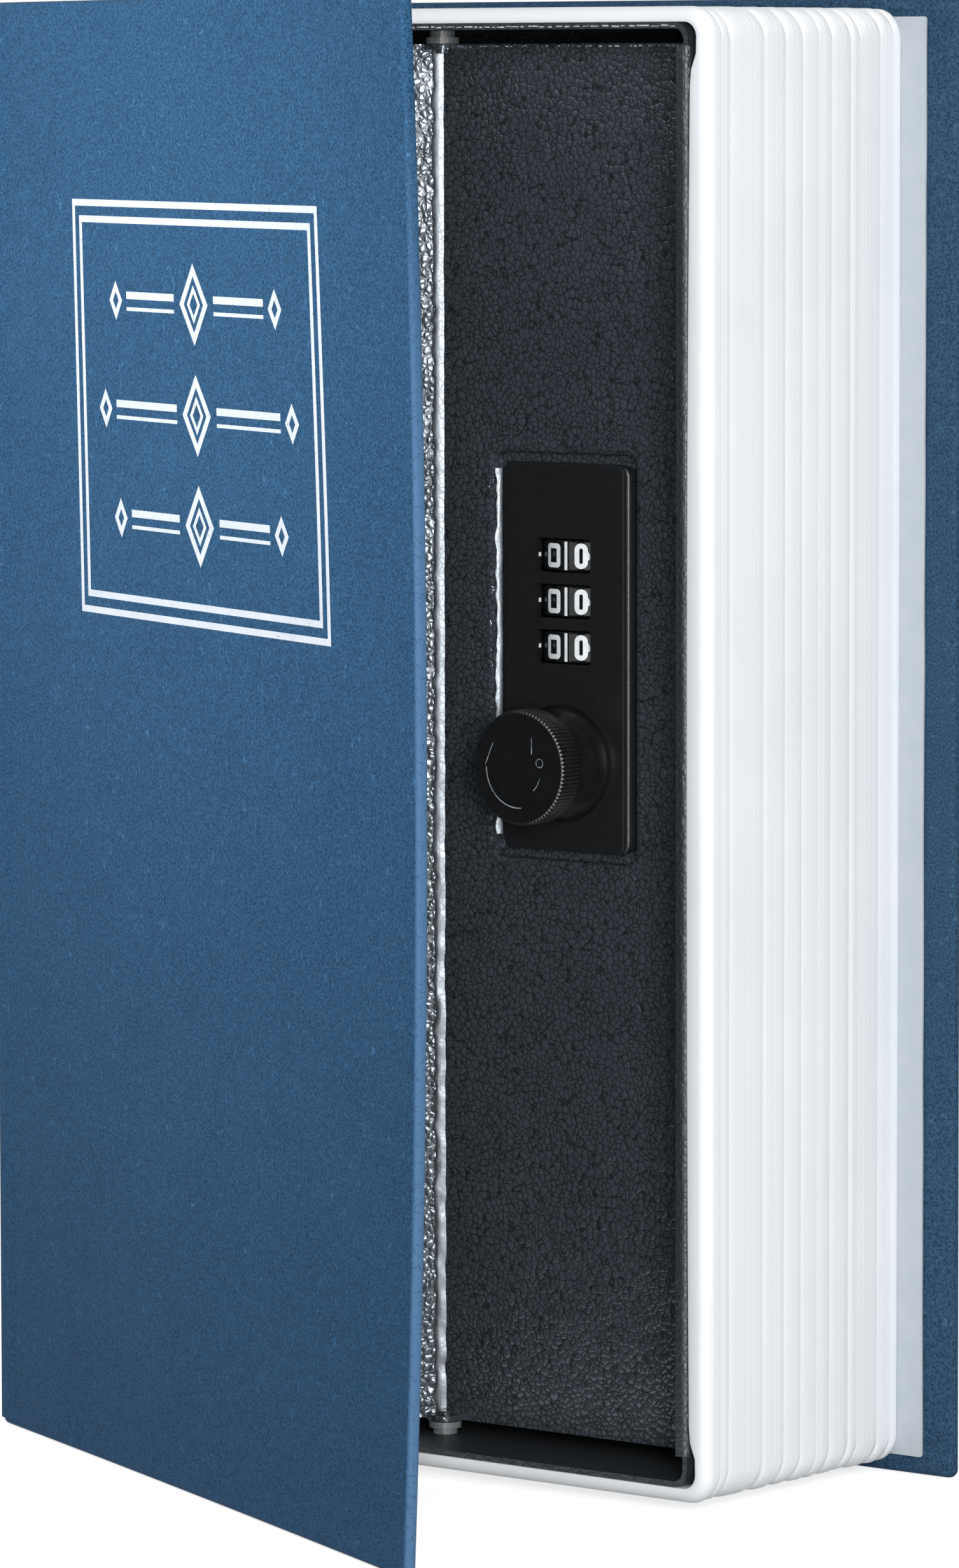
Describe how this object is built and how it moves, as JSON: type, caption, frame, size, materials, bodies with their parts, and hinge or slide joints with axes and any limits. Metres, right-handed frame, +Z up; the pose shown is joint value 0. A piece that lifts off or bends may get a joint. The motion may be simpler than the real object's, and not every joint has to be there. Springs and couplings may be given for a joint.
{
  "type": "book diversion safe",
  "caption": "Book-shaped hiding safe with a hinged cover, a ridged page block, a steel box, a recessed hinged door and a dial lock with a turning knob.",
  "frame": {"origin": "on the bottom edge of the back cover, at the middle of its width and of its thickness", "axes": "+Z up the book, +X from the spine to the fore-edge, +Y out of the back cover"},
  "size_m": [0.1612, 0.1222, 0.24],
  "materials": {
    "leatherette": "grained blue leatherette over board",
    "endpaper": "matt pale grey paper",
    "page_plastic": "moulded white plastic with leaf ridges",
    "hammertone": "dark hammertone powder coat",
    "zinc_steel": "bright zinc plate",
    "nylon": "natural white nylon",
    "black_plastic": "satin black plastic",
    "spring_steel": "bright spring steel"
  },
  "bodies": {
    "book": {"back_cover": "leatherette", "spine_board": "leatherette", "back_endpaper": "endpaper", "page_block": "page_plastic", "box_walls": "hammertone", "box_back_plate": "hammertone", "box_front_plate": "hammertone", "keeper": "hammertone", "keeper_rivet_1": "zinc_steel", "keeper_rivet_2": "zinc_steel", "box_rivet_1": "zinc_steel", "box_rivet_2": "zinc_steel", "box_rivet_3": "zinc_steel", "box_rivet_4": "zinc_steel", "hinge_pin_top": "zinc_steel", "hinge_pin_bottom": "zinc_steel", "hinge_bush_top": "nylon", "hinge_bush_bottom": "nylon"},
    "cover": {"front_cover": "leatherette", "front_endpaper": "endpaper"},
    "door": {"door_panel": "hammertone", "lock_plate": "black_plastic", "lock_housing": "black_plastic", "dial_axle": "zinc_steel", "detent_spring": "spring_steel", "housing_screw_1": "zinc_steel", "housing_screw_2": "zinc_steel"},
    "code_dial_1": {"dial_1": "black_plastic"},
    "code_dial_2": {"dial_2": "black_plastic"},
    "code_dial_3": {"dial_3": "black_plastic"},
    "change": {"change_screw": "zinc_steel"},
    "turn_knob": {"knob": "black_plastic", "knob_spindle": "zinc_steel", "cam": "zinc_steel", "cam_washer": "zinc_steel", "cam_nut": "zinc_steel"}
  },
  "joints": [
    {"name": "cover_hinge", "type": "hinge", "parent": "book", "child": "cover", "pos_m": [-0.0781, -0.0552, 0.12], "axis": [0, 0, -1], "range_deg": [-24.6, 155.4]},
    {"name": "door_hinge", "type": "hinge", "parent": "book", "child": "door", "pos_m": [0.0047, -0.0402, 0.12], "axis": [0, 0, -1], "range_deg": [0, 72]},
    {"name": "dial_1_turn", "type": "hinge", "parent": "door", "child": "code_dial_1", "pos_m": [0.0284, -0.0306, 0.1505], "axis": [0, 0, 1], "continuous": true},
    {"name": "dial_2_turn", "type": "hinge", "parent": "door", "child": "code_dial_2", "pos_m": [0.0284, -0.0306, 0.1431], "axis": [0, 0, 1], "continuous": true},
    {"name": "dial_3_turn", "type": "hinge", "parent": "door", "child": "code_dial_3", "pos_m": [0.0284, -0.0306, 0.1357], "axis": [0, 0, 1], "continuous": true},
    {"name": "change_turn", "type": "hinge", "parent": "door", "child": "change", "pos_m": [0.0339, -0.0213, 0.1254], "axis": [0, 1, 0], "range_deg": [0, 90]},
    {"name": "knob_turn", "type": "hinge", "parent": "door", "child": "turn_knob", "pos_m": [0.0284, -0.0413, 0.1169], "axis": [0, -1, 0], "range_deg": [0, 90]}
  ]
}
